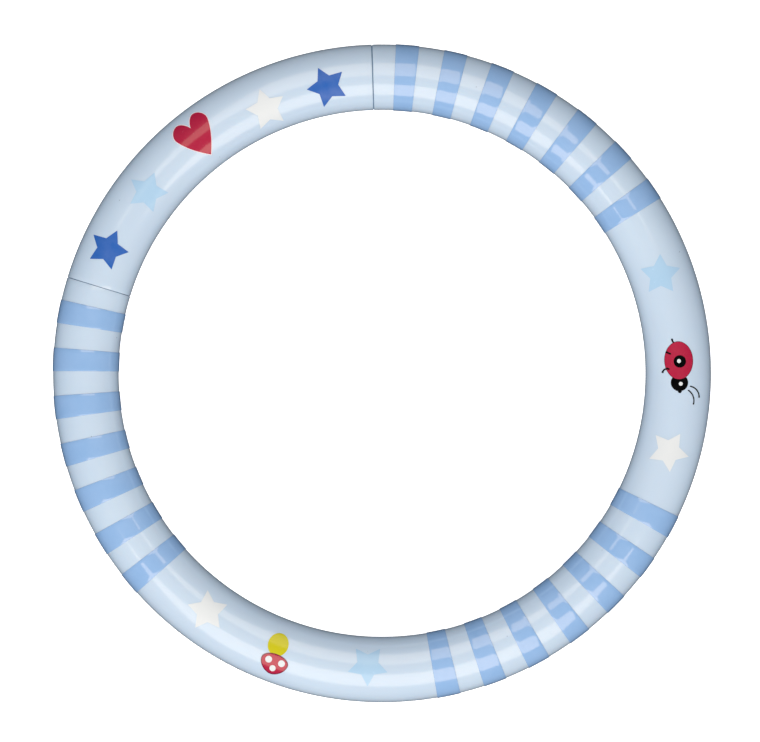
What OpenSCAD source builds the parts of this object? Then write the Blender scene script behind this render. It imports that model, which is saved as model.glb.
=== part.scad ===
// Juggling ring made of round tube.
// A long and a short curved tube section are butt-jointed on plugs inside the tube,
// wrapped with film bands and dressed with stickers on one face.
// The ring's axis is Z and its centre is the origin. Angles run anticlockwise from +X.

/* [Ring] */
// Outside diameter of the bare ring
ring_d = 320; // [300:1:400]
// Outside diameter of the tube
tube_d = 32; // [30:0.5:36]
// Wall thickness of the tube
wall = 1.6; // [1.2:0.1:2.4]

/* [Sections] */
// Direction of the middle of the short closing section
closing_middle = 127.4; // [125:0.1:130]
// Length of the closing section, as an angle round the ring
closing_angle = 71.2; // [68:0.1:74]
// Joint line left between the sections at the top
top_gap = 0.5; // [0.2:0.05:0.8]
// Joint line left between the sections at the side
side_gap = 0.3; // [0.2:0.05:0.8]

/* [Joint plugs] */
// Length of a plug along the tube
plug_length = 40; // [30:1:50]
// Wall thickness of a plug
plug_wall = 2; // [1.5:0.1:3]
// Gap all round between a plug's body and the tube's bore
plug_clearance = 0.2; // [0.1:0.05:0.4]
// Number of barbs on each half of a plug
plug_barbs = 3; // [1:1:4]
// Length of one barb along the tube
barb_length = 1.5; // [1:0.1:2]
// Gap all round between a barb and the tube's bore
barb_clearance = 0.02; // [0.01:0.01:0.1]
// Depth of a plug's stop rib below the tube's surface
rib_depth = 0.4; // [0.2:0.1:1]

/* [Bands] */
// Number of bands in each of the three groups
bands = 7; // [1:1:7]
// Width of a band, as an angle round the ring
band_angle = 4.1; // [3:0.1:5]
// Thickness of the band film
band_film = 0.2; // [0.1:0.05:0.4]
// Bare tube between the top joint and the upper group
upper_lead = 4.2; // [1:0.1:5]
// Spacing of the bands in the upper group
upper_pitch = 8.55; // [8:0.05:9]
// Bare tube between the side joint and the left group
left_lead = 4.05; // [1:0.05:5]
// Spacing of the bands in the left group
left_pitch = 8.44; // [8:0.02:9]
// Direction of the middle of the lower group
lower_middle = 306.95; // [305:0.05:309]
// Spacing of the bands in the lower group
lower_pitch = 8.4; // [8:0.05:9]

/* [Stickers] */
// Thickness of a sticker's base film
base_film = 0.1; // [0.05:0.01:0.15]
// Thickness of each colour laid over a base film
ink = 0.03; // [0.02:0.01:0.05]
// Radius of a star's tips
star_tip = 10.1; // [8:0.1:12]
// Radius of a star's notches, as a share of its tips
star_notch = 0.53; // [0.4:0.01:0.7]
// Radius of each lobe of the heart
heart_lobe = 5; // [4:0.1:5.2]
// Distance from the heart's point to the middle of its lobes
heart_drop = 16.8; // [13:0.1:17.5]
// White edge left round the heart
heart_edge = 0.3; // [0.2:0.05:0.6]
// Length of the ladybird's wing case
wings_length = 18.5; // [16:0.1:20]
// Width of the ladybird's wing case
wings_width = 14; // [12:0.1:15]
// Diameter of the ladybird's head
head_d = 8.4; // [7:0.1:9]
// Width of the toadstool's cap
cap_width = 13.2; // [11:0.1:14]
// Height of the toadstool's cap
cap_height = 10.2; // [8:0.1:11]
// Dark rim left round the toadstool's cap
cap_rim = 0.5; // [0.3:0.05:0.8]

/* [Hidden] */
centre_r = (ring_d - tube_d) / 2;
tube_r = tube_d / 2;
bore_r = tube_r - wall;
degrees_per_mm = 180 / (PI * centre_r);
cut = 1;

top_joint = closing_middle - closing_angle / 2;
side_joint = closing_middle + closing_angle / 2;
top_gap_angle = top_gap * degrees_per_mm;
side_gap_angle = side_gap * degrees_per_mm;

// First band's middle, going anticlockwise, in each group
upper_first = top_joint - upper_lead - band_angle / 2 - (bands - 1) * upper_pitch;
left_first = side_joint + left_lead + band_angle / 2;
lower_first = lower_middle - (bands - 1) * lower_pitch / 2;

// Each star's node, direction, distance out from the tube's middle, and turn
stars = [
    ["navy_star_1", 100.8, -2.3, 16],
    ["navy_star_2", 155.6, 1.9, -20],
    ["white_star_1", 113.6, -4, -4],
    ["white_star_2", 233.7, -1, 0],
    ["white_star_3", 344.8, 0.1, 0],
    ["pale_star_1", 142.3, -0.2, 0],
    ["pale_star_2", 267.2, -2.1, 2],
    ["pale_star_3", 19.5, -0.7, 0]
];

// Heart: its direction, how far out its lobes' middle lies, how far a lobe's arc turns before the side
// leaves it, how far the side runs on straight as a share of the drop, and how much more than the edge
// the point and the notch draw in
heart_at = 128;
heart_out = 7.1;
lobe_turn = 108;
side_run = 0.47;
point_draw = 1.5;
notch_draw = 1.2;

// Ladybird: its direction, its head and mouth, its spot, its glints, and the width of its feelers and legs
ladybird_at = 2.5;
wings_edge = 0.15;
head = [-0.1, -wings_length / 2 - head_d * 0.18];
mouth_d = 1.8;
spot_place = [0.5, -0.5];
spot_d = 6;
glint_d = 1.9;
glint_place = [0.1, -0.3];
eye_place = [0.6, -0.6];
feeler_w = 0.6;
leg_w = 0.8;

// Toadstool: its direction, how far out its cap lies, how much the cap and the stalk narrow outwards, and
// the stalk's place and size
toadstool_at = 249.55;
cap_out = 6.4;
cap_taper = 0.28;
stalk_taper = 0.08;
stalk_place = [-2.8, -1.2];
stalk_size = [11.4, 10];
// Place and diameter of each white spot on the cap
cap_spots = [[8.5, 0.2, 3], [5.1, -3.1, 3.3], [5, 3.5, 3.3]];

sticker_span = 16;

// ---- Tube and joints ----

// A solid stretch of the ring, of the given radius, between two directions
module bar(from, to, radius) {
    rotate([0, 0, from])
        rotate_extrude(angle = to - from, $fn = 180)
            translate([centre_r, 0])
                circle(r = radius, $fn = 96);
}

// A hollow stretch of the ring
module sleeve(from, to, inner, outer) {
    rotate([0, 0, from])
        rotate_extrude(angle = to - from, $fn = 180)
            translate([centre_r, 0])
                difference() {
                    circle(r = outer, $fn = 96);
                    circle(r = inner, $fn = 96);
                }
}

// The long section runs from the side joint round to the top joint
module main_tube() {
    color("#C6DAEC")
        sleeve(side_joint + side_gap_angle / 2, top_joint + 360 - top_gap_angle / 2, bore_r, tube_r);
}

// The short section closes the ring between the two joints
module closing_tube() {
    color("#C6DAEC")
        sleeve(top_joint + top_gap_angle / 2, side_joint - side_gap_angle / 2, bore_r, tube_r);
}

// A curved hollow plug with barbs that grip the bore and a stop rib between the tube ends
module joint_plug(joint, gap_angle) {
    half = plug_length / 2 * degrees_per_mm;
    barb = barb_length * degrees_per_mm;
    step = (half - gap_angle) / (plug_barbs + 1);
    body_r = bore_r - plug_clearance;
    barb_r = bore_r - barb_clearance;
    color("#5F7C9C")
        difference() {
            union() {
                bar(joint - half, joint + half, body_r);
                bar(joint - gap_angle / 2, joint + gap_angle / 2, tube_r - rib_depth);
                for (side = [-1, 1], i = [1:plug_barbs])
                    bar(joint + side * i * step - barb / 2, joint + side * i * step + barb / 2, barb_r);
            }
            bar(joint - half - cut, joint + half + cut, body_r - plug_wall);
        }
}

// ---- Bands ----

// Film wrapped once round the tube
module band(middle) {
    color("#97BEE6")
        sleeve(middle - band_angle / 2, middle + band_angle / 2, tube_r, tube_r + band_film);
}

// ---- Stickers ----

// Film that follows the tube's upper face, cut to a flat outline with X outwards and Y anticlockwise
module film(at, level, thickness) {
    rotate([0, 0, at])
        intersection() {
            sleeve(-sticker_span / 2, sticker_span / 2, tube_r + level, tube_r + level + thickness);
            translate([centre_r, 0])
                linear_extrude(height = tube_d)
                    children();
        }
}

// Corners of a five-pointed star, turned from pointing outwards
function star_points(turn) = [
    for (i = [0:9])
        let (r = i % 2 == 0 ? star_tip : star_tip * star_notch)
            [r * cos(turn + i * 36), r * sin(turn + i * 36)]
];

// Points along a curve that leaves a, heads for b and ends at c
function bend(a, b, c, steps) = [
    for (i = [1:steps])
        let (t = i / steps)
            (1 - t) * (1 - t) * a + 2 * t * (1 - t) * b + t * t * c
];

// One side of the heart, from the notch over the lobe to the point
function heart_side(edge) =
    let (
        lobe = heart_lobe - edge,
        point = [heart_out - heart_drop + edge * point_draw, 0],
        arc = [
            for (a = [-90:9:lobe_turn])
                [heart_out + lobe * cos(a), heart_lobe + lobe * sin(a)]
        ],
        last = arc[len(arc) - 1],
        heading = [-sin(lobe_turn), cos(lobe_turn)]
    )
        concat(arc, bend(last, last + heading * heart_drop * side_run, point, 8));

// The notch dips a little when the lobes stand apart
function heart_points(edge) =
    let (
        side = heart_side(edge),
        notch = [[side[0].x - edge * notch_draw, 0]],
        other = [for (i = [len(side) - 2:-1:0]) [side[i].x, -side[i].y]]
    )
        edge > 0 ? concat(notch, side, other)
                 : concat(side, [for (i = [0:len(other) - 2]) other[i]]);

// An oval that can be drawn in towards its outer end
function egg_points(length, width, taper) = [
    for (a = [0:10:350])
        [length / 2 * cos(a), width / 2 * sin(a) * (1 - taper * cos(a))]
];

// Outline of an arc of even width about the origin
function stroke_points(radius, from, to, width) =
    let (steps = 8, angles = [for (i = [0:steps]) from + (to - from) * i / steps])
        concat(
            [for (i = [0:steps]) (radius + width / 2) * [cos(angles[i]), sin(angles[i])]],
            [for (i = [steps:-1:0]) (radius - width / 2) * [cos(angles[i]), sin(angles[i])]]
        );

// A stroke that leaves its root along a heading and bends by the sweep, with a bead at its tip
module feeler(root, heading, length, sweep, width) {
    radius = length / (abs(sweep) * PI / 180);
    from = heading - sign(sweep) * 90;
    centre = root - radius * [cos(from), sin(from)];
    translate(centre) {
        polygon(stroke_points(radius, min(from, from + sweep), max(from, from + sweep), width));
        translate(radius * [cos(from + sweep), sin(from + sweep)])
            circle(d = width * 1.3, $fn = 24);
    }
}

module star(s) {
    tint = s[0][0] == "n" ? "#3F6DBE" : s[0][0] == "w" ? "#EDEFF2" : "#AED3EE";
    color(tint)
        film(s[1], 0, base_film)
            translate([s[2], 0])
                polygon(star_points(s[3]));
}

module heart_backing() {
    color("#F3E6EA")
        film(heart_at, 0, base_film)
            polygon(heart_points(0));
}

module heart() {
    color("#BE1E46")
        film(heart_at, base_film, ink)
            polygon(heart_points(heart_edge));
}

module wings_outline(inset) {
    polygon(egg_points(wings_width - 2 * inset, wings_length - 2 * inset, 0));
}

// Black film under the whole ladybird: head, mouth and two legs show round the wing case,
// and two loose feelers lie beside the head
module ladybird_base() {
    color("#141414")
        film(ladybird_at, 0, base_film) {
            wings_outline(0);
            translate(head) {
                circle(d = head_d, $fn = 48);
                translate([0, -head_d / 2])
                    circle(d = mouth_d, $fn = 32);
                feeler([5, -2], -10, 7.6, -83, feeler_w);
                feeler([4, -3.8], -35, 7.7, -72, feeler_w);
            }
            feeler([-1.6, 8.3], 145, 2.3, -48, leg_w);
            feeler([-5.9, -3.9], 175, 3, 70, leg_w);
        }
}

module ladybird_wings() {
    color("#B3163F")
        film(ladybird_at, base_film, ink)
            wings_outline(wings_edge);
}

// One large spot in the middle of the wing case, and the two legs that lie over it
module ladybird_spot() {
    color("#141414")
        film(ladybird_at, base_film + ink, ink) {
            translate(spot_place)
                circle(d = spot_d, $fn = 48);
            feeler([-3.6, 3.3], 165, 2.2, -20, leg_w);
            feeler([-4.6, -4.1], 165, 1.2, 15, leg_w);
        }
}

// White glints, one on the large spot and one on the head
module ladybird_glints() {
    color("#F4F4F4") {
        film(ladybird_at, base_film + 2 * ink, ink)
            translate(glint_place)
                circle(d = glint_d, $fn = 32);
        film(ladybird_at, base_film, ink)
            translate(head + eye_place)
                circle(d = glint_d, $fn = 32);
    }
}

module cap_outline(inset) {
    translate([cap_out, 0])
        polygon(egg_points(cap_height - 2 * inset, cap_width - 2 * inset, cap_taper));
}

module toadstool_stalk() {
    color("#C9C41B")
        film(toadstool_at, 0, base_film)
            difference() {
                translate(stalk_place)
                    polygon(egg_points(stalk_size.x, stalk_size.y, stalk_taper));
                cap_outline(0);
            }
}

module toadstool_rim() {
    color("#8E0F3A")
        film(toadstool_at, 0, base_film)
            cap_outline(0);
}

module toadstool_cap() {
    color("#B41C47")
        film(toadstool_at, base_film, ink)
            cap_outline(cap_rim);
}

module toadstool_spots() {
    color("#F6F6F4")
        film(toadstool_at, base_film + ink, ink)
            for (spot = cap_spots)
                translate([spot.x, spot.y])
                    circle(d = spot.z, $fn = 36);
}

// ---- Assembly ----

main_tube();
closing_tube();
joint_plug(top_joint, top_gap_angle);  // top_joint_plug
joint_plug(side_joint, side_gap_angle);  // side_joint_plug
for (i = [1:bands]) {
    band(upper_first + (i - 1) * upper_pitch);
    band(left_first + (i - 1) * left_pitch);
    band(lower_first + (i - 1) * lower_pitch);
}
for (s = stars)
    star(s);
heart_backing();
heart();
ladybird_base();
ladybird_wings();
ladybird_spot();
ladybird_glints();
toadstool_stalk();
toadstool_rim();
toadstool_cap();
toadstool_spots();
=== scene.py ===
"""Round-tube juggling ring: its tubes, joint plugs, film bands and stickers, dressed and lit.

Lengths in the classes are in millimetres and turned to metres where a mesh is made. Directions are in
degrees round the ring's axis, anticlockwise from +X. The ring lies flat and its axis is Z.
"""

import logging
import math
from collections.abc import Callable, Iterable, Sequence
from dataclasses import dataclass, field
from enum import Enum
from typing import TypeAlias

import bpy
from mathutils import Matrix, Vector


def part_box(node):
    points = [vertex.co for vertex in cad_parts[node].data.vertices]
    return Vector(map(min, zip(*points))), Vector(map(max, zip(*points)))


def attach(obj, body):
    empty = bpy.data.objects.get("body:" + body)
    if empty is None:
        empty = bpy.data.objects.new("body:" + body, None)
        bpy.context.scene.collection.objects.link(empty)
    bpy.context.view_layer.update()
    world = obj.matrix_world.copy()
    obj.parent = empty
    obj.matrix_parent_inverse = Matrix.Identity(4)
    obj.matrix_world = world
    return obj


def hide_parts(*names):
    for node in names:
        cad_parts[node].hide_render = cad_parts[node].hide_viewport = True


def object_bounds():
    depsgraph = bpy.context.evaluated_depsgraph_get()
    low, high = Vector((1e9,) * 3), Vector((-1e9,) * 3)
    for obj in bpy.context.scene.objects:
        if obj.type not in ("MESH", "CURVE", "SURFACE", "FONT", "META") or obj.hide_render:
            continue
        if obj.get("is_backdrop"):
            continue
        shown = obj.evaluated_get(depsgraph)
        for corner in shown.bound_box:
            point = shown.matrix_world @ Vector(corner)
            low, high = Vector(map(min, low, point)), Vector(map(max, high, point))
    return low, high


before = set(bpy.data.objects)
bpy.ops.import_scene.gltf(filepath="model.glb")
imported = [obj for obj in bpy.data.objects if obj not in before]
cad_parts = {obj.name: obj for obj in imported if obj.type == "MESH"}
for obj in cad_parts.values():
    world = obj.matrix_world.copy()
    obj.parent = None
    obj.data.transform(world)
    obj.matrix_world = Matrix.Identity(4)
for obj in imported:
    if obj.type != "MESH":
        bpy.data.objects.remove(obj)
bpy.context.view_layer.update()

LOG = logging.getLogger("ring")
MM = 0.001
BODY = "root"
# Handle length that makes a curve of four bends round, as a share of its radius.
ROUND_HANDLE = 0.5523

Piece: TypeAlias = bpy.types.Object
Socket: TypeAlias = bpy.types.NodeSocket
Tree: TypeAlias = bpy.types.NodeTree
Material: TypeAlias = bpy.types.Material


# ---- Small helpers ----


def linear(code: str) -> tuple[float, float, float, float]:
    """Turn an sRGB hex colour to linear RGBA.

    Args:
        code: Colour written as "#RRGGBB".

    Returns:
        Linear red, green, blue and an alpha of one.
    """
    channels = [int(code[i : i + 2], 16) / 255 for i in (1, 3, 5)]
    curve = [c / 12.92 if c <= 0.04045 else ((c + 0.055) / 1.055) ** 2.4 for c in channels]
    return (curve[0], curve[1], curve[2], 1.0)


def add_node(tree: Tree, kind: str, inputs: dict[str | int, object] | None = None,
             **settings: object) -> bpy.types.Node:
    """Add one node with its input values, links and settings.

    Args:
        tree: Node tree that gets the node.
        kind: The node's type name, without "ShaderNode".
        inputs: Value of each input, or the output socket that is linked to it.
        settings: Properties of the node itself.

    Returns:
        The new node.
    """
    node = tree.nodes.new("ShaderNode" + kind)
    for name, value in settings.items():
        setattr(node, name, value)
    for name, value in (inputs or {}).items():
        if isinstance(value, Socket):
            tree.links.new(value, node.inputs[name])
        else:
            node.inputs[name].default_value = value
    return node


def select_only(*objects: Piece) -> None:
    """Deselect everything, then select these objects and make the first one active."""
    bpy.ops.object.select_all(action="DESELECT")
    for item in objects:
        item.select_set(True)
    bpy.context.view_layer.objects.active = objects[0]


def bake_place(piece: Piece) -> None:
    """Move a piece's place, turn and scale into its mesh."""
    select_only(piece)
    bpy.ops.object.transform_apply(location=True, rotation=True, scale=True)


def edit(piece: Piece, *steps: Callable[[], object]) -> None:
    """Run operators on a piece in edit mode.

    Args:
        piece: The mesh to edit.
        steps: Operators to run, in order, on what is selected in it.
    """
    select_only(piece)
    bpy.ops.object.mode_set(mode="EDIT")
    for step in steps:
        step()
    bpy.ops.object.mode_set(mode="OBJECT")


def choose_all() -> None:
    """Select everything in the piece that is being edited."""
    bpy.ops.mesh.select_all(action="SELECT")


def face_out() -> None:
    """Turn the selected faces outwards."""
    bpy.ops.mesh.normals_make_consistent(inside=False)


def pick_vertices(piece: Piece, wanted: Callable[[Vector], bool]) -> None:
    """Select the vertices of a piece whose position passes a test, and the edges and faces between them."""
    mesh = piece.data
    mesh.polygons.foreach_set("select", [False] * len(mesh.polygons))
    mesh.edges.foreach_set("select", [False] * len(mesh.edges))
    for vertex in mesh.vertices:
        vertex.select = wanted(vertex.co)
    chosen = [vertex.select for vertex in mesh.vertices]
    for part in (mesh.edges, mesh.polygons):
        for item in part:
            item.select = all(chosen[i] for i in item.vertices)


def finish_with(piece: Piece, kind: str, **settings: object) -> None:
    """Add a modifier to a piece and apply it.

    Args:
        piece: The mesh that it shapes.
        kind: The modifier's type name.
        settings: Properties of the modifier.
    """
    select_only(piece)
    modifier = piece.modifiers.new(kind.title(), kind)
    for name, value in settings.items():
        setattr(modifier, name, value)
    bpy.ops.object.modifier_apply(modifier=modifier.name)


def smooth(piece: Piece, angle: float = 40.0) -> None:
    """Shade a piece smooth, with creases where its faces meet at more than an angle in degrees."""
    select_only(piece)
    bpy.ops.object.shade_smooth_by_angle(angle=math.radians(angle))


def copy_piece(piece: Piece, name: str, turn: float) -> Piece:
    """Copy a piece with its own mesh, turned round the ring's axis.

    Args:
        piece: The piece to copy.
        name: The copy's name.
        turn: Angle of the turn in degrees.

    Returns:
        The copy, with its place in its mesh.
    """
    copy = piece.copy()
    copy.data = piece.data.copy()
    copy.name = name
    bpy.context.collection.objects.link(copy)
    copy.data.transform(Matrix.Rotation(math.radians(turn), 4, "Z"))
    return copy


# ---- The ring's shape ----


@dataclass(frozen=True)
class RingShape:
    """The bare tube's size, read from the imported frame, and places on it."""

    tube_radius: float
    ring_radius: float
    wall: float = 1.6
    corners: int = 96

    @classmethod
    def from_frame(cls) -> "RingShape":
        """Measure the tube and the ring on the long section's box."""
        low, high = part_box("main_tube")
        tube_radius = (high[2] - low[2]) / 2 / MM
        return cls(tube_radius, (high[0] - low[0]) / 2 / MM - tube_radius)

    @property
    def bore_radius(self) -> float:
        """Radius of the tube's bore."""
        return self.tube_radius - self.wall

    def degrees(self, length: float) -> float:
        """Angle round the ring that a length along the tube's middle takes."""
        return math.degrees(length / self.ring_radius)

    def middle(self, direction: float) -> Vector:
        """Point on the tube's middle line, in metres."""
        angle = math.radians(direction)
        return Vector((math.cos(angle), math.sin(angle), 0.0)) * self.ring_radius * MM

    def direction(self, point: Vector) -> float:
        """Direction of a point round the ring."""
        return math.degrees(math.atan2(point.y, point.x))

    def off_middle(self, point: Vector) -> float:
        """Distance of a point from the tube's middle line, in millimetres."""
        return math.hypot(math.hypot(point.x, point.y) / MM - self.ring_radius, point.z / MM)

    def profile(self, name: str, direction: float, radius: float, corners: int) -> Piece:
        """Add a circle across the tube.

        Args:
            name: The new object's name.
            direction: Where the circle stands.
            radius: The circle's radius.
            corners: How many vertices it has.

        Returns:
            The circle, with its place in its mesh.
        """
        bpy.ops.object.select_all(action="DESELECT")
        bpy.ops.mesh.primitive_circle_add(
            vertices=corners,
            radius=radius * MM,
            location=self.middle(direction),
            rotation=(math.radians(90), 0, math.radians(direction)),
        )
        circle = bpy.context.object
        circle.name = name
        bake_place(circle)
        return circle

    def sleeve(self, name: str, start: float, end: float, inner: float, outer: float,
               pitch: float = 1.0) -> Piece:
        """Spin a hollow length of tube round the ring.

        Args:
            name: The new piece's name.
            start: Direction of its first end.
            end: Direction of its other end, further anticlockwise.
            inner: Radius of its bore.
            outer: Radius of its outside.
            pitch: Largest angle between two rings of vertices.

        Returns:
            The piece, closed and with its faces outwards.
        """
        piece = self.profile(name, start, outer, self.corners)
        self.spin(piece, end - start, pitch)
        finish_with(piece, "SOLIDIFY", thickness=(outer - inner) * MM, offset=-1, use_even_offset=True)
        return piece

    def spin(self, piece: Piece, sweep: float, pitch: float) -> None:
        """Spin a line across the tube anticlockwise round the ring, and face the result outwards.

        Args:
            piece: The line, which becomes a surface.
            sweep: Angle to spin it through.
            pitch: Largest angle between two steps.
        """
        edit(
            piece,
            choose_all,
            lambda: bpy.ops.mesh.spin(
                steps=max(1, math.ceil(sweep / pitch)),
                # Spin turns clockwise for a positive angle here, so the angle is negated.
                angle=-math.radians(sweep),
                center=(0, 0, 0),
                axis=(0, 0, 1),
            ),
        )
        self._face_outwards(piece)

    def _face_outwards(self, piece: Piece) -> None:
        """Turn an open tube's faces away from its middle line, and its spin the right way round."""
        edit(piece, choose_all, face_out)
        face = piece.data.polygons[0]
        if face.normal.dot(face.center - self.middle(self.direction(face.center))) < 0:
            edit(piece, choose_all, lambda: bpy.ops.mesh.flip_normals())

    def round_ends(self, piece: Piece, ends: Sequence[float], radius: float, width: float) -> None:
        """Round the outer edge at the ends of a sleeve.

        Args:
            piece: The sleeve.
            ends: Direction of each end to round.
            radius: Outside radius of the sleeve.
            width: Size of the rounding.
        """
        # How close a vertex has to be, in degrees to the end and in millimetres to the surface.
        near_end, near_surface = 0.002, 0.02

        def at_rim(point: Vector) -> bool:
            """Is the point on the outer edge of an end?"""
            gaps = [abs((self.direction(point) - end + 180) % 360 - 180) for end in ends]
            return min(gaps) < near_end and self.off_middle(point) > radius - near_surface

        pick_vertices(piece, at_rim)
        edit(
            piece,
            lambda: bpy.ops.mesh.select_mode(type="EDGE"),
            lambda: bpy.ops.mesh.bevel(offset=width * MM, segments=2, affect="EDGES"),
        )


# ---- Finishes ----


@dataclass(frozen=True)
class Finish:
    """What every finish shares: its name, base colour, roughness and index of refraction."""

    name: str
    colour: str
    roughness: float
    ior: float = 1.5

    def material(self) -> Material:
        """Make the finish's material."""
        raise NotImplementedError

    def _start(self) -> tuple[Material, Tree, Socket]:
        """Start an empty material.

        Returns:
            The material, its node tree and the object coordinates.
        """
        material = bpy.data.materials.new(self.name)
        material.use_nodes = True
        tree = material.node_tree
        tree.nodes.clear()
        return material, tree, add_node(tree, "TexCoord").outputs["Object"]

    def _surface(self, tree: Tree, colour: Socket, gloss: Socket | float, normal: Socket,
                 **settings: object) -> None:
        """End a material with its one surface shader.

        Args:
            tree: The material's node tree.
            colour: Base colour.
            gloss: Roughness.
            normal: Bumped normal.
            settings: Other inputs of the shader, with underscores for spaces.
        """
        values = {key.replace("_", " "): value for key, value in settings.items()}
        values |= {"IOR": self.ior, "Base Color": colour, "Roughness": gloss, "Normal": normal}
        shader = add_node(tree, "BsdfPrincipled", values)
        add_node(tree, "OutputMaterial", {"Surface": shader.outputs["BSDF"]})

    def _section(self, tree: Tree, here: Socket) -> Socket:
        """Coordinates across the tube, the same all along it, so that a pattern on them runs with it."""
        parts = add_node(tree, "SeparateXYZ", {"Vector": here})
        x, y, z = parts.outputs
        flat = add_node(tree, "CombineXYZ", {"X": x, "Y": y})
        reach = add_node(tree, "VectorMath", {0: flat.outputs["Vector"]}, operation="LENGTH")
        section = add_node(tree, "CombineXYZ", {"X": reach.outputs["Value"], "Y": z})
        return section.outputs["Vector"]

    def _ripple(self, tree: Tree, vector: Socket, spacing: float, height: float,
                under: Socket | None = None, detail: float = 2.0) -> Socket:
        """Add a bump of soft waves.

        Args:
            tree: The material's node tree.
            vector: Coordinates of the pattern, in metres.
            spacing: Distance between waves, in millimetres.
            height: Height of the waves, in millimetres.
            under: Normal of another bump that this one adds to.
            detail: How many finer layers of waves lie on the first.

        Returns:
            The bumped normal.
        """
        noise = add_node(
            tree, "TexNoise",
            {"Vector": vector, "Scale": 1 / (spacing * MM), "Detail": detail, "Roughness": 0.45},
        )
        inputs = {"Height": noise.outputs["Fac"], "Strength": 1.0, "Distance": height * MM}
        if under:
            inputs["Normal"] = under
        return add_node(tree, "Bump", inputs).outputs["Normal"]

    def _patches(self, tree: Tree, vector: Socket, spacing: float, low: object, high: object) -> Socket:
        """Vary a colour or a number in soft patches.

        Args:
            tree: The material's node tree.
            vector: Coordinates of the patches, in metres.
            spacing: Distance between patches, in millimetres.
            low: Colour or number at one end.
            high: Colour or number at the other.

        Returns:
            The varied colour or number.
        """
        noise = add_node(
            tree, "TexNoise",
            {"Vector": vector, "Scale": 1 / (spacing * MM), "Detail": 3.0, "Roughness": 0.55},
        )
        spread = add_node(
            tree, "MapRange", {"Value": noise.outputs["Fac"], "From Min": 0.3, "From Max": 0.7},
        )
        kind = "FLOAT" if isinstance(low, float) else "RGBA"
        first, second, result = (2, 3, 0) if kind == "FLOAT" else (6, 7, 2)
        mix = add_node(
            tree, "Mix", {0: spread.outputs["Result"], first: low, second: high}, data_type=kind,
        )
        return mix.outputs[result]


@dataclass(frozen=True)
class ExtrudedTube(Finish):
    """Pale blue HDPE pipe, extruded: a clean gloss with faint lines along it from the die."""

    cloudy: str = "#C8DAEE"
    speck: str = "#7E93AA"
    line_spacing: float = 1.1
    line_height: float = 0.0012
    ripple_spacing: float = 7.0
    ripple_height: float = 0.006

    def material(self) -> Material:
        """Make the pipe's material."""
        # HDPE lets a little light in, which softens its shading. A sharp gloss over a softer one gives the
        # highlight a bright core and a faint haze; die lines, waviness and trapped specks break it up.
        material, tree, here = self._start()
        colour = self._patches(tree, here, 45.0, linear(self.colour), linear(self.cloudy))
        dots = add_node(tree, "TexVoronoi", {"Vector": here, "Scale": 1 / (9.0 * MM)})
        dot = add_node(
            tree, "MapRange",
            {
                "Value": dots.outputs["Distance"], "From Min": 0.022, "From Max": 0.03,
                "To Min": 1.0, "To Max": 0.0,
            },
        )
        tint = add_node(
            tree, "Mix", {0: dot.outputs["Result"], 6: colour, 7: linear(self.speck)}, data_type="RGBA",
        )
        gloss = self._patches(tree, here, 12.0, self.roughness, self.roughness * 1.4)
        lines = self._ripple(tree, self._section(tree, here), self.line_spacing, self.line_height, None, 3.0)
        waves = self._ripple(tree, here, self.ripple_spacing, self.ripple_height, lines)
        self._surface(
            tree, tint.outputs[2], gloss, waves, Subsurface_Weight=0.12, Subsurface_Scale=2.0 * MM,
            Subsurface_Radius=(0.5, 0.8, 1.0), Coat_Weight=1.0, Coat_Roughness=0.03,
        )
        return material


@dataclass(frozen=True)
class WrapFilm(Finish):
    """Mid-blue PVC film, calendered and wrapped tight: a hard gloss with faint stretch waves."""

    stretched: str = "#9CC0ED"
    ripple_spacing: float = 5.0
    ripple_height: float = 0.006

    def material(self) -> Material:
        """Make the film's material."""
        # The film is denser and harder than the pipe, so highlights end crisply on it, with a faint warmth.
        # Its colour thins where it was pulled.
        material, tree, here = self._start()
        colour = self._patches(tree, here, 11.0, linear(self.colour), linear(self.stretched))
        gloss = self._patches(tree, here, 6.0, self.roughness, self.roughness * 1.5)
        grain = self._ripple(tree, here, 0.9, 0.0008)
        waves = self._ripple(tree, here, self.ripple_spacing, self.ripple_height, grain)
        warm = linear("#FFF4E2")
        self._surface(tree, colour, gloss, waves, Specular_Tint=warm, Coat_Weight=1.0, Coat_Roughness=0.03)
        return material


@dataclass(frozen=True)
class StickerVinyl(Finish):
    """Die-cut vinyl, printed or dyed: flat even colour under a thin film, with a fine pebble."""

    fade: float = 0.03
    gloss_coat: float = 0.0
    pebble_spacing: float = 0.5
    pebble_height: float = 0.0015

    def material(self) -> Material:
        """Make the vinyl's material."""
        # Vinyl takes colour evenly, with a faint mottle, and its pebble breaks up the highlight's edges.
        material, tree, here = self._start()
        base = linear(self.colour)
        pale = tuple(c + (1 - c) * self.fade for c in base)
        colour = self._patches(tree, here, 7.0, base, pale)
        gloss = self._patches(tree, here, 1.5, self.roughness, self.roughness * 1.25)
        pebble = self._ripple(tree, here, self.pebble_spacing, self.pebble_height)
        waves = self._ripple(tree, here, 6.0, 0.006, pebble)
        self._surface(tree, colour, gloss, waves, Coat_Weight=self.gloss_coat, Coat_Roughness=0.04)
        return material


@dataclass(frozen=True)
class MouldedPlug(Finish):
    """Grey-blue polypropylene, injection moulded: a satin skin with a fine spark-eroded grain."""

    worn: str = "#6E8AA8"

    def material(self) -> Material:
        """Make the plug's material."""
        # The tool's eroded grain scatters the gloss, and handling polishes it in patches.
        material, tree, here = self._start()
        colour = self._patches(tree, here, 5.0, linear(self.colour), linear(self.worn))
        gloss = self._patches(tree, here, 3.0, self.roughness, self.roughness * 1.3)
        self._surface(tree, colour, gloss, self._ripple(tree, here, 0.35, 0.01, None, 4.0))
        return material


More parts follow.
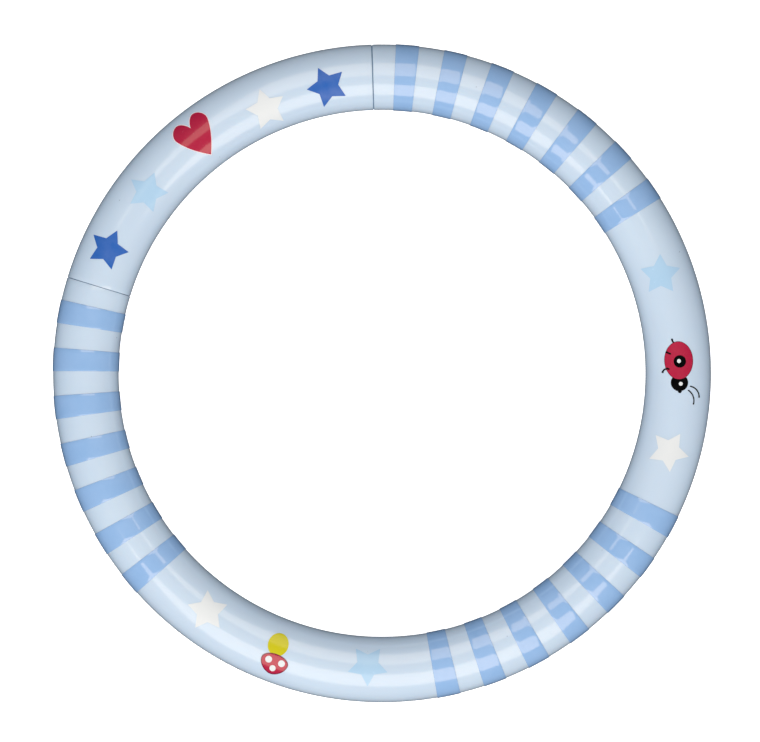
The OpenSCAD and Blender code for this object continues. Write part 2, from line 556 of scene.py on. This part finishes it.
@dataclass(frozen=True)
class PaperSweep(Finish):
    """White background paper: matt, with a fine fibre."""

    glow: float = 0.8

    def material(self) -> Material:
        """Make the paper's material."""
        # Paper scatters light evenly. Its glow stands in for the light that keeps a backdrop pure white.
        material, tree, here = self._start()
        colour = self._patches(tree, here, 1.5, linear(self.colour), linear("#FBFBFB"))
        fibre = self._ripple(tree, here, 0.6, 0.01)
        white = linear("#FFFFFF")
        self._surface(
            tree, colour, self.roughness, fibre, Emission_Color=white, Emission_Strength=self.glow,
        )
        return material


class Slot(Enum):
    """The record's material slots, each with its finish."""

    TUBE = ExtrudedTube("extruded hdpe pipe", "#CBDDF0", 0.16)
    PLUG = MouldedPlug("moulded polypropylene plug", "#5F7C9C", 0.42)
    BAND_FILM = WrapFilm("calendered pvc wrap film", "#94BBEA", 0.09, ior=1.75)
    NAVY_VINYL = StickerVinyl("blue die-cut vinyl", "#1A5FB8", 0.3)
    WHITE_VINYL = StickerVinyl("white die-cut vinyl", "#DFE3E6", 0.4)
    PALE_VINYL = StickerVinyl("light blue die-cut vinyl", "#ABCEEB", 0.22, gloss_coat=0.25)
    BLUSH_VINYL = StickerVinyl("white sticker backing vinyl", "#F3E6EA", 0.3)
    RED_INK = StickerVinyl("crimson printed vinyl", "#B5143F", 0.22, fade=0.01, gloss_coat=1.0)
    CRIMSON_INK = StickerVinyl("dark crimson printed vinyl", "#7A0C34", 0.15, fade=0.01, gloss_coat=1.0)
    YELLOW_INK = StickerVinyl("mustard printed vinyl", "#CBC312", 0.16, fade=0.01, gloss_coat=0.3)
    BLACK_INK = StickerVinyl("black printed vinyl", "#030304", 0.1, fade=0.004)

    @property
    def slot(self) -> str:
        """The slot's name in the record."""
        return self.name.lower()


@dataclass
class Dresser:
    """Makes each finish once, dresses pieces in it and ties them to the frame."""

    made: dict[Slot, Material] = field(default_factory=dict)

    def material(self, slot: Slot) -> Material:
        """The slot's material, made the first time it is asked for."""
        if slot not in self.made:
            self.made[slot] = slot.value.material()
        return self.made[slot]

    def dress(self, piece: Piece, slot: Slot, *nodes: str) -> None:
        """Give a piece its finish and put it in place of its nodes.

        Args:
            piece: The finished piece.
            slot: The record's material slot that it takes its finish from.
            nodes: Names of the frame's nodes that it stands for.
        """
        piece.data.materials.clear()
        piece.data.materials.append(self.material(slot))
        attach(piece, BODY)
        slot.slot
        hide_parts(*nodes)
        spans = zip(*(vertex.co for vertex in piece.data.vertices))
        size = [(max(span) - min(span)) / MM for span in spans]
        LOG.info("%s: %d faces, %.1f x %.1f x %.1f mm", piece.name, len(piece.data.polygons), *size)


# ---- Tube and plugs ----


@dataclass
class TubeSections:
    """The long and the short tube section, with a fine gap between their ends at each joint."""

    shape: RingShape
    top_joint: float = 91.8
    side_joint: float = 163.0
    top_gap: float = 0.5
    side_gap: float = 0.3
    end_rounding: float = 0.15

    def build(self, dresser: Dresser) -> None:
        """Build and dress both sections."""
        top = self.shape.degrees(self.top_gap) / 2
        side = self.shape.degrees(self.side_gap) / 2
        self._section(dresser, "long_tube", "main_tube", self.side_joint + side, self.top_joint + 360 - top)
        self._section(dresser, "short_tube", "closing_tube", self.top_joint + top, self.side_joint - side)

    def _section(self, dresser: Dresser, name: str, node: str, start: float, end: float) -> None:
        """Build one section between two directions, with its cut ends eased."""
        shape = self.shape
        piece = shape.sleeve(name, start, end, shape.bore_radius, shape.tube_radius)
        shape.round_ends(piece, (start, end), shape.tube_radius, self.end_rounding)
        smooth(piece)
        dresser.dress(piece, Slot.TUBE, node)


@dataclass
class JointPlugs:
    """Hollow curved plugs inside the joints, each with a stop rib and saw-toothed barbs."""

    shape: RingShape
    tubes: TubeSections
    length: float = 40.0
    thickness: float = 2.0
    clearance: float = 0.2
    barb_clearance: float = 0.02
    barbs: int = 3
    barb_length: float = 1.5
    rib_depth: float = 0.4
    nose: float = 1.2
    nose_depth: float = 0.72
    longest_step: float = 1.5

    def build(self, dresser: Dresser) -> None:
        """Build and dress both plugs."""
        joints = (
            ("top_plug", "top_joint_plug", self.tubes.top_joint, self.tubes.top_gap),
            ("side_plug", "side_joint_plug", self.tubes.side_joint, self.tubes.side_gap),
        )
        for name, node, joint, gap in joints:
            piece = self._plug(name, joint, gap)
            dresser.dress(piece, Slot.PLUG, node)

    def _half_outline(self, gap: float) -> list[tuple[float, float]]:
        """Distance from the joint and outside radius at each turn of one half's outline, from the rib out."""
        body = self.shape.bore_radius - self.clearance
        peak = self.shape.bore_radius - self.barb_clearance
        half = self.length / 2
        step = (half - gap) / (self.barbs + 1)
        outline = [(gap / 2, self.shape.tube_radius - self.rib_depth), (gap / 2, body)]
        for i in range(1, self.barbs + 1):
            crest = i * step - self.barb_length / 2
            outline += [(crest, body), (crest, peak), (crest + self.barb_length, body)]
        return outline + [(half - self.nose, body), (half, body - self.nose_depth)]

    def _plug(self, name: str, joint: float, gap: float) -> Piece:
        """Draw a circle along the plug's outline and back through its bore, then close it."""
        shape = self.shape
        half = self._half_outline(gap)
        bore = shape.bore_radius - self.clearance - self.thickness
        back = [(self.length / 2 * (1 - i / 8), bore) for i in range(17)]
        stations = self._fill_in([(-place, radius) for place, radius in reversed(half)] + half + back)
        place, radius = stations[0]
        piece = shape.profile(name, joint + shape.degrees(place), radius, shape.corners)
        for next_place, next_radius in stations[1:]:
            self._draw_to(piece, joint, place, radius, next_place, next_radius)
            place, radius = next_place, next_radius
        self._close(piece)
        smooth(piece, 30)
        return piece

    def _fill_in(self, stations: Sequence[tuple[float, float]]) -> list[tuple[float, float]]:
        """Add stations so that no straight run between two is longer than the longest step."""
        filled = [stations[0]]
        for place, radius in stations[1:]:
            last_place, last_radius = filled[-1]
            run, rise = place - last_place, radius - last_radius
            count = max(1, math.ceil(abs(run) / self.longest_step))
            for i in range(1, count + 1):
                filled.append((last_place + run * i / count, last_radius + rise * i / count))
        return filled

    def _draw_to(self, piece: Piece, joint: float, place: float, radius: float,
                 next_place: float, next_radius: float) -> None:
        """Extrude the last circle to the next station: turn it round the ring, then resize it."""
        middle = self.shape.middle(joint + self.shape.degrees(next_place))
        turn = math.radians(self.shape.degrees(next_place - place))
        steps = [
            lambda: bpy.ops.mesh.extrude_region_move(),
            # With no window the operator turns the other way, so the angle is negated.
            lambda: bpy.ops.transform.rotate(value=-turn, orient_axis="Z", center_override=(0, 0, 0)),
        ]
        if abs(next_radius - radius) > 1e-6:
            ratio = next_radius / radius
            steps.append(lambda: bpy.ops.transform.resize(value=(ratio,) * 3, center_override=middle))
        edit(piece, *steps)

    def _close(self, piece: Piece) -> None:
        """Bridge the first circle to the last one and face everything outwards."""
        edit(
            piece,
            lambda: bpy.ops.mesh.select_all(action="DESELECT"),
            lambda: bpy.ops.mesh.select_non_manifold(),
            lambda: bpy.ops.mesh.bridge_edge_loops(),
            choose_all,
            face_out,
        )


# ---- Film bands ----


@dataclass(frozen=True)
class BandGroup:
    """One group of bands: its name, the first band's middle and the spacing, anticlockwise."""

    name: str
    first: float
    pitch: float


@dataclass
class FilmBands:
    """Three groups of film bands wrapped round the tube."""

    shape: RingShape
    count: int = 7
    width: float = 4.1
    edge_rounding: float = 0.17
    groups: tuple[BandGroup, ...] = (
        BandGroup("upper", 34.25, 8.55),
        BandGroup("left", 169.1, 8.44),
        BandGroup("lower", 281.75, 8.4),
    )

    def build(self, dresser: Dresser) -> None:
        """Model one band, then copy it to every place."""
        pattern = self._pattern()
        for group in self.groups:
            for i in range(self.count):
                turn = group.first + i * group.pitch
                piece = copy_piece(pattern, f"{group.name}_wrap_{i + 1}", turn)
                dresser.dress(piece, Slot.BAND_FILM, f"{group.name}_band_{i + 1}")
        bpy.data.objects.remove(pattern)

    def _pattern(self) -> Piece:
        """The band that the others are copied from, in the direction of X."""
        low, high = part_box("left_band_1")
        outer = (high[2] - low[2]) / 2 / MM
        half = self.width / 2
        piece = self.shape.sleeve("band", -half, half, self.shape.tube_radius, outer, pitch=0.7)
        self.shape.round_ends(piece, (-half, half), outer, self.edge_rounding)
        smooth(piece)
        return piece


# ---- Stickers ----


@dataclass(frozen=True)
class Spot:
    """Where a sticker lies: direction round the ring, distance out from the tube's middle, own turn."""

    direction: float
    out: float = 0.0
    turn: float = 0.0


@dataclass(frozen=True)
class Bend:
    """A point of a drawn outline, with the handle before it and the one after it."""

    point: tuple[float, float]
    before: tuple[float, float]
    after: tuple[float, float]


@dataclass
class StickerPress:
    """Cuts outlines out of thin film that already lies on the tube's upper face.

    Outlines are drawn flat, with X out from the ring's axis and Y anticlockwise, in millimetres.
    """

    shape: RingShape
    base_film: float = 0.1
    ink: float = 0.03
    pitch: float = 0.5
    corners: int = 160
    lowest: float = 0.4

    def _sheet(self, name: str, direction: float, span: float, level: float, thickness: float) -> Piece:
        """Lay a closed sheet of film over the tube's upper face, about a direction."""
        shape = self.shape
        outer = shape.tube_radius + level + thickness
        piece = shape.profile(name, direction - span / 2, outer, self.corners)
        pick_vertices(piece, lambda point: point.z < self.lowest * outer * MM)
        edit(piece, lambda: bpy.ops.mesh.delete(type="VERT"))
        shape.spin(piece, span, self.pitch)
        finish_with(piece, "SOLIDIFY", thickness=thickness * MM, offset=-1, use_even_offset=True)
        return piece

    def cut(self, name: str, spot: Spot, span: float, level: float, thickness: float,
            *shapes: Piece) -> Piece:
        """Cut a sheet of film to flat shapes stood up as cutters.

        Args:
            name: The new piece's name.
            spot: Where the shapes lie.
            span: Length of film to cut from, as an angle round the ring.
            level: Height of the film's underside over the tube.
            thickness: Thickness of the film.
            shapes: Cutters, which are used up.

        Returns:
            The cut film.
        """
        piece = self._sheet(name, spot.direction, span, level, thickness)
        self._use(piece, "INTERSECT", spot, *shapes)
        return piece

    def trim(self, piece: Piece, spot: Spot, *shapes: Piece) -> None:
        """Cut shapes away from film that is already cut."""
        self._use(piece, "DIFFERENCE", spot, *shapes)

    def _use(self, piece: Piece, operation: str, spot: Spot, *shapes: Piece) -> None:
        """Join cutters, which may overlap, move them over their spot, run a boolean and remove them."""
        select_only(*shapes)
        many = len(shapes) > 1
        if many:
            bpy.ops.object.join()
        cutter = bpy.context.object
        out = (self.shape.ring_radius + spot.out) * MM
        cutter.data.transform(Matrix.Rotation(math.radians(spot.turn), 4, "Z"))
        cutter.data.transform(Matrix.Translation((out, 0, 0)))
        cutter.data.transform(Matrix.Rotation(math.radians(spot.direction), 4, "Z"))
        finish_with(piece, "BOOLEAN", operation=operation, object=cutter, solver="EXACT", use_self=many)
        bpy.data.objects.remove(cutter)
        smooth(piece, 35)

    def _stand_up(self, flat: Piece) -> Piece:
        """Extrude a flat shape up to a cutter taller than the tube."""
        self._raise(flat)
        edit(flat, choose_all, face_out)
        return flat

    def _raise(self, flat: Piece) -> None:
        """Extrude a flat shape or line up past the top of the tube."""
        rise = {"value": (0, 0, self.shape.tube_radius * 1.3 * MM)}
        edit(flat, choose_all, lambda: bpy.ops.mesh.extrude_region_move(TRANSFORM_OT_translate=rise))

    def disc(self, x: float, y: float, length: float, width: float | None = None) -> Piece:
        """A cutter with a round or oval outline.

        Args:
            x: Its middle, outwards.
            y: Its middle, anticlockwise.
            length: Its size outwards.
            width: Its size anticlockwise, the same as outwards if left out.

        Returns:
            The cutter.
        """
        bpy.ops.object.select_all(action="DESELECT")
        bpy.ops.mesh.primitive_circle_add(vertices=64, radius=length / 2 * MM, fill_type="NGON")
        flat = bpy.context.object
        flat.scale = (1, (width or length) / length, 1)
        flat.location = (x * MM, y * MM, 0)
        bake_place(flat)
        return self._stand_up(flat)

    def star(self, tip: float, notch: float, corner: float) -> Piece:
        """A cutter with a five-pointed outline, one tip outwards.

        Args:
            tip: Radius of the tips.
            notch: Radius of the notches.
            corner: Rounding of the tips.

        Returns:
            The cutter.
        """
        bpy.ops.object.select_all(action="DESELECT")
        bpy.ops.mesh.primitive_circle_add(
            vertices=10, radius=tip * MM, fill_type="NGON", rotation=(0, 0, -math.pi / 2),
        )
        flat = bpy.context.object
        bake_place(flat)
        tips = [math.radians(72 * i) for i in range(5)]

        def near_tip(point: Vector) -> bool:
            """Is the point in the direction of a tip?"""
            return any(point.xy.normalized().dot(Vector((math.cos(t), math.sin(t)))) > 0.99 for t in tips)

        pick_vertices(flat, lambda point: not near_tip(point))
        edit(flat, lambda: bpy.ops.transform.resize(value=(notch / tip,) * 3, center_override=(0, 0, 0)))
        pick_vertices(flat, near_tip)
        edit(flat, lambda: bpy.ops.mesh.bevel(offset=corner * MM, segments=3, affect="VERTICES"))
        return self._stand_up(flat)

    def drawn(self, *bends: Bend) -> Piece:
        """A cutter with an outline drawn as a closed curve.

        Args:
            bends: The outline's points, anticlockwise.

        Returns:
            The cutter.
        """
        curve = self._curve(bends)
        curve.data.dimensions = "2D"
        curve.data.fill_mode = "BOTH"
        curve.data.splines[0].use_cyclic_u = True
        bpy.ops.object.convert(target="MESH")
        flat = bpy.context.object
        edit(
            flat,
            choose_all,
            lambda: bpy.ops.mesh.remove_doubles(threshold=0.001 * MM),
            lambda: bpy.ops.mesh.dissolve_limited(angle_limit=math.radians(0.1)),
        )
        return self._stand_up(flat)

    def stroke(self, start: Bend, end: Bend, width: float) -> list[Piece]:
        """Cutters for a curved stroke and the bead at its far end.

        Args:
            start: Where the stroke leaves.
            end: Where it ends.
            width: Width of the stroke.

        Returns:
            The two cutters.
        """
        self._curve((start, end))
        bpy.ops.object.convert(target="MESH")
        line = bpy.context.object
        self._raise(line)
        finish_with(line, "SOLIDIFY", thickness=width * MM, offset=0, use_even_offset=True)
        edit(line, choose_all, face_out)
        return [line, self.disc(*end.point, width * 1.3)]

    def _curve(self, bends: Sequence[Bend]) -> Piece:
        """Add a curve through some bends."""
        bpy.ops.object.select_all(action="DESELECT")
        bpy.ops.curve.primitive_bezier_curve_add()
        curve = bpy.context.object
        spline = curve.data.splines[0]
        spline.bezier_points.add(len(bends) - 2)
        for knot, bend in zip(spline.bezier_points, bends):
            knot.handle_left_type = "FREE"
            knot.handle_right_type = "FREE"
            knot.co = Vector((*bend.point, 0)) * MM
            knot.handle_left = Vector((*bend.before, 0)) * MM
            knot.handle_right = Vector((*bend.after, 0)) * MM
        spline.resolution_u = 16
        return curve


def arc_bend(x: float, y: float, heading: float, before: float, after: float) -> Bend:
    """A bend that a line passes straight through.

    Args:
        x: The point, outwards.
        y: The point, anticlockwise.
        heading: Direction of the line there, in degrees.
        before: Length of the handle before the point.
        after: Length of the handle after it.

    Returns:
        The bend.
    """
    along = (math.cos(math.radians(heading)), math.sin(math.radians(heading)))
    return Bend(
        (x, y),
        (x - along[0] * before, y - along[1] * before),
        (x + along[0] * after, y + along[1] * after),
    )


@dataclass
class Stars:
    """Eight five-pointed stars cut from three colours of vinyl."""

    press: StickerPress
    tip: float = 10.1
    notch: float = 5.35
    corner: float = 0.25
    span: float = 9.6
    places: dict[Slot, tuple[Spot, ...]] = field(default_factory=lambda: {
        Slot.NAVY_VINYL: (Spot(100.8, -2.3, 16), Spot(155.6, 1.9, -20)),
        Slot.WHITE_VINYL: (Spot(113.6, -4, -4), Spot(233.7, -1), Spot(344.8, 0.1)),
        Slot.PALE_VINYL: (Spot(142.3, -0.2), Spot(267.2, -2.1, 2), Spot(19.5, -0.7)),
    })

    def build(self, dresser: Dresser) -> None:
        """Build and dress every star."""
        for slot, spots in self.places.items():
            colour = slot.slot.split("_")[0]
            for i, spot in enumerate(spots, start=1):
                name = f"{colour}_star_{i}_vinyl"
                cutter = self.press.star(self.tip, self.notch, self.corner)
                piece = self.press.cut(name, spot, self.span, 0, self.press.base_film, cutter)
                dresser.dress(piece, slot, f"{colour}_star_{i}")


@dataclass
class Heart:
    """A red heart on a slightly larger white backing, its point towards the ring's axis."""

    press: StickerPress
    spot: Spot = Spot(128.0)
    lobe: float = 5.0
    lobe_out: float = 7.1
    drop: float = 16.8
    lobe_turn: float = 18.0
    side_swell: float = 0.31
    point_angle: float = 43.0
    edge: float = 0.3
    span: float = 9.0

    def build(self, dresser: Dresser) -> None:
        """Build and dress the backing and the heart."""
        press = self.press
        outline = self._outline(0)
        backing = press.cut("heart_backing_vinyl", self.spot, self.span, 0, press.base_film, outline)
        dresser.dress(backing, Slot.BLUSH_VINYL, "heart_backing")
        outline = self._outline(self.edge)
        heart = press.cut("heart_print", self.spot, self.span, press.base_film, press.ink, outline)
        dresser.dress(heart, Slot.RED_INK, "heart")

    def _outline(self, edge: float) -> Piece:
        """Draw the heart, drawn in by an edge: two round lobes, and sides that swell to the point."""
        radius = self.lobe - edge
        pull = radius * ROUND_HANDLE
        x, y = self.lobe_out, self.lobe
        tip = x - self.drop + edge * 1.5
        shoulder = radius * math.cos(math.radians(self.lobe_turn))
        shoulder_x = x - radius * math.sin(math.radians(self.lobe_turn))
        notch_x = x - edge * 1.2
        swell = self.drop * self.side_swell
        slope = (math.cos(math.radians(self.point_angle)), math.sin(math.radians(self.point_angle)))
        right = [
            Bend((notch_x, 0), (notch_x + pull * 0.6, -edge), (notch_x + pull * 0.6, edge)),
            arc_bend(x + radius, y, 90, pull, pull),
            arc_bend(shoulder_x, y + shoulder, 180 + self.lobe_turn, radius * 0.64, swell),
        ]
        reach, rise = tip + slope[0] * swell * 1.3, slope[1] * swell * 1.3
        point = Bend((tip, 0), (reach, rise), (reach, -rise))
        left = [
            arc_bend(shoulder_x, -y - shoulder, -self.lobe_turn, swell, radius * 0.64),
            arc_bend(x + radius, -y, 90, pull, pull),
        ]
        return self.press.drawn(*right, point, *left)


@dataclass
class Ladybird:
    """A plain ladybird: black film under a red wing case with one spot, and two white glints."""

    press: StickerPress
    spot: Spot = Spot(2.5)
    length: float = 18.5
    width: float = 14.0
    case_edge: float = 0.15
    head: float = 8.4
    head_x: float = -0.1
    mouth: float = 1.8
    dot: float = 6.0
    glint: float = 1.9
    line: float = 0.6
    leg: float = 0.8
    span: float = 19.0

    @property
    def head_y(self) -> float:
        """Middle of the head along the ring."""
        return -self.length / 2 - self.head * 0.18

    def build(self, dresser: Dresser) -> None:
        """Build and dress the four layers."""
        press, spot, ink = self.press, self.spot, self.press.ink
        first = press.base_film
        base = press.cut("ladybird_body", spot, self.span, 0, first, *self._body())
        dresser.dress(base, Slot.BLACK_INK, "ladybird_base")
        case = press.disc(0, 0, self.width - 2 * self.case_edge, self.length - 2 * self.case_edge)
        wings = press.cut("ladybird_wing_case", spot, self.span, first, ink, case)
        dresser.dress(wings, Slot.RED_INK, "ladybird_wings")
        dot = press.cut("ladybird_dot", spot, self.span / 2, first + ink, ink, *self._over_case())
        dresser.dress(dot, Slot.BLACK_INK, "ladybird_spot")
        glint = press.disc(0.1, -0.3, self.glint)
        glints = press.cut("ladybird_white_dots", spot, self.span / 2, first + 2 * ink, ink, glint)
        glint = press.disc(self.head_x + 0.6, self.head_y - 0.6, self.glint)
        eye = press.cut("eye", spot, self.span, first, ink, glint)
        select_only(glints, eye)
        bpy.ops.object.join()
        dresser.dress(glints, Slot.WHITE_VINYL, "ladybird_glints")

    def _body(self) -> Iterable[Piece]:
        """Cutters for the black film: wing case, head, mouth, two legs and two loose feelers."""
        press, x, y = self.press, self.head_x, self.head_y
        yield press.disc(0, 0, self.width, self.length)
        yield press.disc(x, y, self.head)
        yield press.disc(x, y - self.head / 2, self.mouth)
        strokes = (
            (arc_bend(x + 5, y - 2, -10, 0, 2.7), arc_bend(x + 9.3, y - 7.4, -93, 2.7, 0), self.line),
            (arc_bend(x + 4, y - 3.8, -35, 0, 2.7), arc_bend(x + 6.4, y - 10.6, -107, 2.7, 0), self.line),
            (arc_bend(-1.6, 8.3, 145, 0, 0.8), arc_bend(-2.8, 10.2, 97, 0.8, 0), self.leg),
            (arc_bend(-5.9, -3.9, 175, 0, 1.1), arc_bend(-8.0, -5.3, 245, 1.1, 0), self.leg),
        )
        for start, end, width in strokes:
            yield from press.stroke(start, end, width)

    def _over_case(self) -> Iterable[Piece]:
        """Cutters for the black print on the wing case: its spot and the two legs that lie over it."""
        yield self.press.disc(0.5, -0.5, self.dot)
        yield from self.press.stroke(
            arc_bend(-3.6, 3.3, 165, 0, 0.7), arc_bend(-5.6, 4.2, 145, 0.7, 0), self.leg,
        )
        yield from self.press.stroke(
            arc_bend(-4.6, -4.1, 165, 0, 0.4), arc_bend(-5.75, -3.7, 180, 0.4, 0), self.leg,
        )


@dataclass
class Toadstool:
    """A plain toadstool: a yellow stalk, and a crimson cap with a dark rim and three white spots."""

    press: StickerPress
    spot: Spot = Spot(249.55, -0.42)
    cap_height: float = 10.2
    cap_width: float = 13.2
    cap_out: float = 6.9
    cap_bulge: float = 1.036
    cap_foot: float = 0.246
    rim: float = 0.5
    stalk: tuple[float, float, float, float] = (-2.7, -1.2, 11.4, 10.0)
    span: float = 8.0
    spots: tuple[tuple[float, float, float], ...] = ((9.0, 0.2, 3.0), (5.5, -3.1, 3.3), (5.4, 3.5, 3.3))

    def build(self, dresser: Dresser) -> None:
        """Build and dress the four layers."""
        press, spot, span = self.press, self.spot, self.span
        film, ink = press.base_film, press.ink
        stalk = press.cut("toadstool_stem", spot, span, 0, film, press.disc(*self.stalk))
        press.trim(stalk, spot, self._cap(0))
        dresser.dress(stalk, Slot.YELLOW_INK, "toadstool_stalk")
        rim = press.cut("toadstool_cap_base", spot, span, 0, film, self._cap(0))
        dresser.dress(rim, Slot.CRIMSON_INK, "toadstool_rim")
        cap = press.cut("toadstool_cap_print", spot, span, film, ink, self._cap(self.rim))
        dresser.dress(cap, Slot.RED_INK, "toadstool_cap")
        discs = [press.disc(*place) for place in self.spots]
        spots = press.cut("toadstool_white_spots", spot, span, film + ink, ink, *discs)
        dresser.dress(spots, Slot.WHITE_VINYL, "toadstool_spots")

    def _cap(self, rim: float) -> Piece:
        """Draw the cap, drawn in by its rim: a dome outwards and a flatter, wider foot."""
        half = self.cap_height / 2 - rim
        side = (self.cap_width / 2 - rim) * self.cap_bulge
        x = self.cap_out
        widest = x - half * self.cap_foot
        return self.press.drawn(
            arc_bend(x + half, 0, 90, side * 0.46, side * 0.46),
            arc_bend(widest, side, 180, half * 0.62, half * 0.44),
            arc_bend(x - half, 0, 270, side * 0.56, side * 0.56),
            arc_bend(widest, -side, 0, half * 0.44, half * 0.62),
        )


# ---- Studio ----


@dataclass(frozen=True)
class SoftBox:
    """A long soft light beside the ring: the top and bottom of its face, its length and its brightness."""

    name: str
    top: tuple[float, float]
    bottom: tuple[float, float]
    length: float
    power: float
    colour: str = "#FFEBD3"

    def build(self) -> None:
        """Hang the light with its face towards the ring."""
        top = Vector((0, *self.top)) * MM
        bottom = Vector((0, *self.bottom)) * MM
        middle = (top + bottom) / 2
        rise = top - bottom
        tilt = math.atan2(rise.z, rise.y)
        if Vector((0, rise.z, -rise.y)).dot(middle) > 0:
            tilt += math.pi
        bpy.ops.object.light_add(type="AREA", location=middle, rotation=(tilt, 0, 0))
        light = bpy.context.object
        light.name = self.name
        light.data.shape = "RECTANGLE"
        light.data.size = self.length * MM
        light.data.size_y = rise.length
        light.data.energy = self.power
        light.data.color = linear(self.colour)[:3]


@dataclass
class Studio:
    """A pale floor, two long soft boxes, a soft room light and a camera straight above."""

    floor_radius: float = 8000.0
    sweep_radius: float = 3000.0
    wall_height: float = 4000.0
    camera_height: float = 6000.0
    view_width: float = 369.6
    view_shift: tuple[float, float] = (-1.0, 1.15)
    fill: float = 0.53
    fill_lean: tuple[float, float, float] = (-0.088, -0.243, 0.07)
    fill_upright: float = 0.27
    fill_colour: str = "#F0F8FF"
    boxes: tuple[SoftBox, ...] = (
        SoftBox("upper_soft_box", (260, 1293), (1419, 1064), 1100, 5.5),
        SoftBox("lower_soft_box", (-573, 1494), (-1438, 701), 1900, 12.3),
    )

    def build(self) -> None:
        """Build the floor, lights and camera."""
        self._floor()
        for box in self.boxes:
            box.build()
        self._world()
        self._camera()
        view = bpy.context.scene.view_settings
        view.view_transform = "Standard"
        view.look = "None"

    def _floor(self) -> None:
        """Lay a round floor under the ring's lowest point and sweep its edge up to a wall."""
        low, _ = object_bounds()
        wall_radius = self.floor_radius + self.sweep_radius
        bpy.ops.object.select_all(action="DESELECT")
        bpy.ops.mesh.primitive_circle_add(
            vertices=128, radius=wall_radius * MM, location=(0, 0, low[2] + (self.wall_height - 0.02) * MM),
        )
        floor = bpy.context.object
        floor.name = "paper_sweep"
        bake_place(floor)
        outline = [(wall_radius, self.wall_height)]
        for i in range(13):
            angle = math.radians(90 * i / 12)
            outline.append((
                self.floor_radius + self.sweep_radius * math.cos(angle),
                self.sweep_radius * (1 - math.sin(angle)),
            ))
        edit(floor, choose_all)
        for (radius, height), (next_radius, next_height) in zip(outline, outline[1:]):
            drop = {"value": (0, 0, (next_height - height) * MM)}
            ratio = next_radius / radius
            edit(
                floor,
                lambda: bpy.ops.mesh.extrude_region_move(TRANSFORM_OT_translate=drop),
                lambda: bpy.ops.transform.resize(value=(ratio, ratio, 1), center_override=(0, 0, 0)),
            )
        edit(
            floor,
            lambda: bpy.ops.mesh.edge_face_add(),
            choose_all,
            lambda: bpy.ops.mesh.normals_make_consistent(inside=True),
        )
        paper = PaperSweep("white background paper", "#F4F4F4", 0.9)
        floor.data.materials.append(paper.material())
        # The paper only shows and takes shadows: the room light takes the place of its bounce.
        floor.visible_diffuse = False
        floor.visible_glossy = False
        floor.visible_shadow = False
        floor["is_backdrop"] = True

    def _world(self) -> None:
        """Light the room softly in a cool white, least from the +Y side and near the horizon."""
        world = bpy.data.worlds.new("room")
        world.use_nodes = True
        tree = world.node_tree
        tree.nodes.clear()
        ray = add_node(tree, "TexCoord").outputs["Generated"]
        lean = add_node(tree, "VectorMath", {0: ray, 1: self.fill_lean}, operation="DOT_PRODUCT")
        folded = add_node(tree, "VectorMath", {0: ray}, operation="ABSOLUTE")
        steep = {0: folded.outputs["Vector"], 1: (0, 0, self.fill_upright)}
        upright = add_node(tree, "VectorMath", steep, operation="DOT_PRODUCT")
        level = add_node(tree, "Math", {0: lean.outputs["Value"], 1: self.fill}, operation="ADD")
        both = {0: level.outputs["Value"], 1: upright.outputs["Value"]}
        strength = add_node(tree, "Math", both, operation="ADD").outputs["Value"]
        room = add_node(tree, "Background", {"Color": linear(self.fill_colour), "Strength": strength})
        add_node(tree, "OutputWorld", {"Surface": room.outputs["Background"]})
        # The room only fills the shading; the glosses mirror nothing but the soft boxes.
        world.cycles_visibility.glossy = False
        bpy.context.scene.world = world

    def _camera(self) -> None:
        """Hang the camera over the ring, looking straight down with +Y up."""
        x, y = self.view_shift
        bpy.ops.object.camera_add(location=(x * MM, y * MM, self.camera_height * MM), rotation=(0, 0, 0))
        camera = bpy.context.object
        camera.data.sensor_fit = "HORIZONTAL"
        camera.data.lens = camera.data.sensor_width * self.camera_height / self.view_width
        camera.data.clip_end = 30
        bpy.context.scene.camera = camera


def main() -> None:
    """Build the ring piece by piece, then the studio."""
    logging.basicConfig(level=logging.INFO, format="%(relativeCreated)6d ms  %(message)s")
    shape = RingShape.from_frame()
    dresser = Dresser()
    tubes = TubeSections(shape)
    press = StickerPress(shape)
    stickers = (Stars(press), Heart(press), Ladybird(press), Toadstool(press))
    for part in (tubes, JointPlugs(shape, tubes), FilmBands(shape), *stickers):
        LOG.info("building %s", type(part).__name__)
        part.build(dresser)
    Studio().build()


if __name__ == "__main__":
    main()
